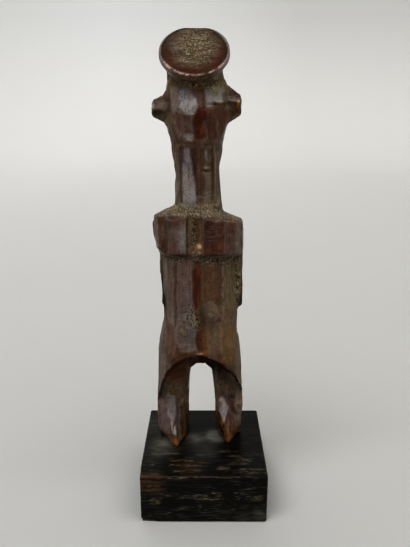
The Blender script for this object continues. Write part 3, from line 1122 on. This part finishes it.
def carved_wood():
    """Brown wood in clouds, and over it whatever its points carry, from the oldest to the last worn."""
    wood = Surface("carved wood")
    fine = wood.noise(2200, (1, 1, 0.7))
    pinholes = wood.noise(1800, (1, 1, 0.8), 2)
    mottle = wood.noise(600, (1, 1, 0.6), 4)
    grain = wood.noise(1300, (1, 1, 0.10))
    level_lines = wood.noise(2200, (0.12, 0.12, 1), 2)
    clouds = wood.ramp(wood.noise(230, (1, 1, 0.5)), 0.38, 0.62)
    colour = wood.blend(clouds, DARK_WOOD, BROWN_WOOD)
    colour = wood.blend(wood.carried("red"), colour, RED_WOOD)
    olive = wood.carried_where("olive", wood.ramp(mottle, 0.35, 0.65, 0.6, 1.0))
    colour = wood.blend(olive, colour, OLIVE_FILM)
    bloom = wood.carried_where("bloom", wood.ramp(mottle, 0.35, 0.65, 0.65, 1.0))
    colour = wood.blend(bloom, colour, GREY_BLOOM)
    colour = wood.blend(wood.ramp(grain, 0.48, 0.68, 0, 0.35), colour, DARK_WOOD)
    colour = wood.blend(wood.ramp(fine, 0.50, 0.68, 0, 0.42), colour, GRIME)
    colour = wood.blend(wood.ramp(mottle, 0.55, 0.75, 0, 0.30), colour, OLIVE_FILM)
    chatter = wood.carried_where("chatter", wood.ramp(level_lines, 0.48, 0.62, 0, 0.35))
    colour = wood.blend(chatter, colour, GREY_BLOOM)
    colour = wood.blend(wood.ramp(wood.carried("grime"), 0, 1, 0, 0.9), colour, GRIME)
    colour = wood.blend(wood.carried("wear"), colour, WORN_WOOD)
    dust = wood.blend(wood.ramp(pinholes, 0.40, 0.56), GREY_DUST, OCHRE_DUST)
    colour = wood.blend(wood.carried_where("dust", wood.ramp(fine, 0.40, 0.56, 0.15, 1.1)), colour, dust)
    holes = wood.carried_where("holes", wood.ramp(pinholes, 0.52, 0.60, 0, 0.85))
    colour = wood.blend(holes, colour, GRIME)
    colour = wood.blend(wood.carried("pale"), colour, PALE_EDGE)
    wood.feed("Base Color", colour)
    wood.feed("Roughness", wood.ramp(wood.carried("matt"), 0, 0.6, 0.32, 0.85))
    wood.feed("Coat Weight", wood.ramp(wood.carried("bloom"), 0.3, 1.0, 0.0, 0.5))
    wood.shader.inputs["Coat Roughness"].default_value = 0.2
    wood.shader.inputs["Specular IOR Level"].default_value = WOOD_SPECULAR
    wood.bump(fine, 0.8)
    return wood.material


BLACK = (0.0036, 0.0034, 0.0028)
PORE_FILLING = (0.20, 0.18, 0.14)
STREAK_PALE = (0.34, 0.28, 0.17)
BROWN_GROUND = (0.110, 0.055, 0.025)
GREY_FILM = (0.185, 0.175, 0.145)


def black_wood():
    """Black stain, thin in bands of the grain, with the brown under it, grey film and filled pores."""
    wood = Surface("black wood")
    bands = wood.noise(900, (0.06, 1, 1))
    scratches = wood.noise(2600, (0.05, 1, 1), 2)
    pores = wood.noise(2400, (0.12, 1, 1))
    broken = wood.noise(3400, (0.12, 1, 1))
    colour = wood.blend(wood.ramp(bands, 0.55, 0.8, 0, 0.12), BLACK, BROWN_GROUND)
    brown = wood.carried_where("brown", wood.ramp(bands, 0.35, 0.6, 0.1, 1.1))
    colour = wood.blend(brown, colour, BROWN_GROUND)
    colour = wood.blend(wood.carried("rubbed"), colour, BROWN_GROUND)
    scratched = wood.carried_where("worn", wood.ramp(scratches, 0.52, 0.66, 0, 0.5))
    colour = wood.blend(scratched, colour, GREY_FILM)
    film = wood.carried_where("film", wood.ramp(bands, 0.3, 0.6, 0.6, 1.0))
    colour = wood.blend(film, colour, GREY_FILM)
    colour = wood.blend(wood.carried_where("pores", wood.ramp(pores, 0.60, 0.68)), colour, PORE_FILLING)
    colour = wood.blend(wood.carried_where("streaks", wood.ramp(broken, 0.45, 0.60)), colour, STREAK_PALE)
    wood.feed("Base Color", colour)
    wood.feed("Roughness", wood.ramp(bands, 0.3, 0.7, 0.28, 0.5))
    wood.shader.inputs["Specular IOR Level"].default_value = WOOD_SPECULAR
    wood.bump(bands, 0.6)
    return wood.material


# Stage, light and camera

# The paper's tones, on the left and on the right, low and high up, and between which places they change
LOW_LEFT, LOW_RIGHT = (0.640, 0.637, 0.627), (0.565, 0.560, 0.538)
HIGH_LEFT, HIGH_RIGHT = (0.568, 0.568, 0.566), (0.450, 0.447, 0.436)
TONE_HALF_WIDTH = 0.35
TONE_HEIGHT = 0.5


def pale_paper():
    paper = Surface("pale paper")
    parts = paper.nodes.new("ShaderNodeSeparateXYZ")
    paper.links.new(paper.place, parts.inputs["Vector"])
    aside = paper.ramp(parts.outputs["X"], -TONE_HALF_WIDTH, TONE_HALF_WIDTH)
    low = paper.blend(aside, LOW_LEFT, LOW_RIGHT)
    high = paper.blend(aside, HIGH_LEFT, HIGH_RIGHT)
    paper.feed("Base Color", paper.blend(paper.ramp(parts.outputs["Z"], 0.0, TONE_HEIGHT), low, high))
    paper.shader.inputs["Roughness"].default_value = 0.9
    paper.shader.inputs["Specular IOR Level"].default_value = 0.1
    return paper.material


def pale_stage():
    """A wide pale bowl: a flat floor that turns up all round, with no line where it does."""
    deselect_all()
    bpy.ops.mesh.primitive_circle_add(vertices=BOWL_SIDES, radius=FLOOR_RADIUS, fill_type="NGON")
    bowl = bpy.context.object
    bowl.name = "bowl"
    bpy.ops.object.mode_set(mode="EDIT")
    bpy.ops.mesh.select_mode(type="EDGE")
    bpy.ops.mesh.select_all(action="SELECT")
    radius, height = FLOOR_RADIUS, 0.0
    for step in range(1, BOWL_STEPS + 2):
        angle = math.pi / 2 * min(step, BOWL_STEPS) / BOWL_STEPS
        next_radius = FLOOR_RADIUS + WALL_CURVE * math.sin(angle)
        next_height = WALL_CURVE * (1 - math.cos(angle)) + (WALL_HEIGHT if step > BOWL_STEPS else 0)
        bpy.ops.mesh.extrude_edges_move(TRANSFORM_OT_translate={"value": (0, 0, next_height - height)})
        grow = next_radius / radius
        bpy.ops.transform.resize(value=(grow, grow, 1), center_override=(0, 0, 0))
        radius, height = next_radius, next_height
    bpy.ops.mesh.select_all(action="SELECT")
    bpy.ops.mesh.normals_make_consistent(inside=True)
    bpy.ops.object.mode_set(mode="OBJECT")
    bpy.ops.object.shade_smooth()
    bowl.data.materials.append(pale_paper())


# Wide soft lamps, far off: azimuth with 0 behind the camera and 90 to its right, elevation, how wide,
# how strong, and colour
LAMPS = {
    "high left": (-38, 50, 40, 1.80, (0.98, 0.98, 1.0)),
    "high right": (50, 50, 50, 1.05, (1.0, 0.99, 0.95)),
    "low front": (-20, 16, 35, 0.6, (1, 1, 1)),
    "behind": (-150, 38, 45, 0.60, (1, 1, 1)),
}
ROOM_COLOUR = (0.80, 0.81, 0.80, 1)
ROOM_STRENGTH = 0.30


def studio_light():
    """A soft grey room, and the lamps."""
    world = bpy.data.worlds.new("soft room")
    bpy.context.scene.world = world
    world.use_nodes = True
    background = world.node_tree.nodes["Background"]
    background.inputs["Color"].default_value = ROOM_COLOUR
    background.inputs["Strength"].default_value = ROOM_STRENGTH
    for name, (azimuth, elevation, width, strength, colour) in LAMPS.items():
        lamp = bpy.data.lights.new(name, "SUN")
        lamp.energy = strength
        lamp.angle = math.radians(width)
        lamp.color = colour
        holder = bpy.data.objects.new(name, lamp)
        bpy.context.scene.collection.objects.link(holder)
        holder.rotation_euler = Vector(turned(azimuth, elevation)).to_track_quat("Z", "Y").to_euler()


def photo_camera():
    camera = bpy.data.cameras.new("camera")
    camera.sensor_width = SENSOR_SIZE
    camera.lens = FOCAL_PIXELS * SENSOR_SIZE / PHOTO_HEIGHT
    camera.clip_start = 0.01
    camera.clip_end = 20
    holder = bpy.data.objects.new("camera", camera)
    bpy.context.scene.collection.objects.link(holder)
    holder.location = Vector(CAMERA_AT) * MM
    holder.rotation_euler = (math.radians(90 - CAMERA_PITCH), math.radians(CAMERA_ROLL), 0)
    bpy.context.scene.camera = holder


# The scene

photo_camera()
pale_stage()
studio_light()

figure = carve_figure()
figure.data.materials.clear()
figure.data.materials.append(carved_wood())
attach(figure, "root")
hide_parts("carved_figure")

block = black_block()
block.data.materials.append(black_wood())
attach(block, "root")
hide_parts("plinth")

bpy.context.scene.view_settings.view_transform = "Standard"
bpy.context.scene.view_settings.look = "High Contrast"
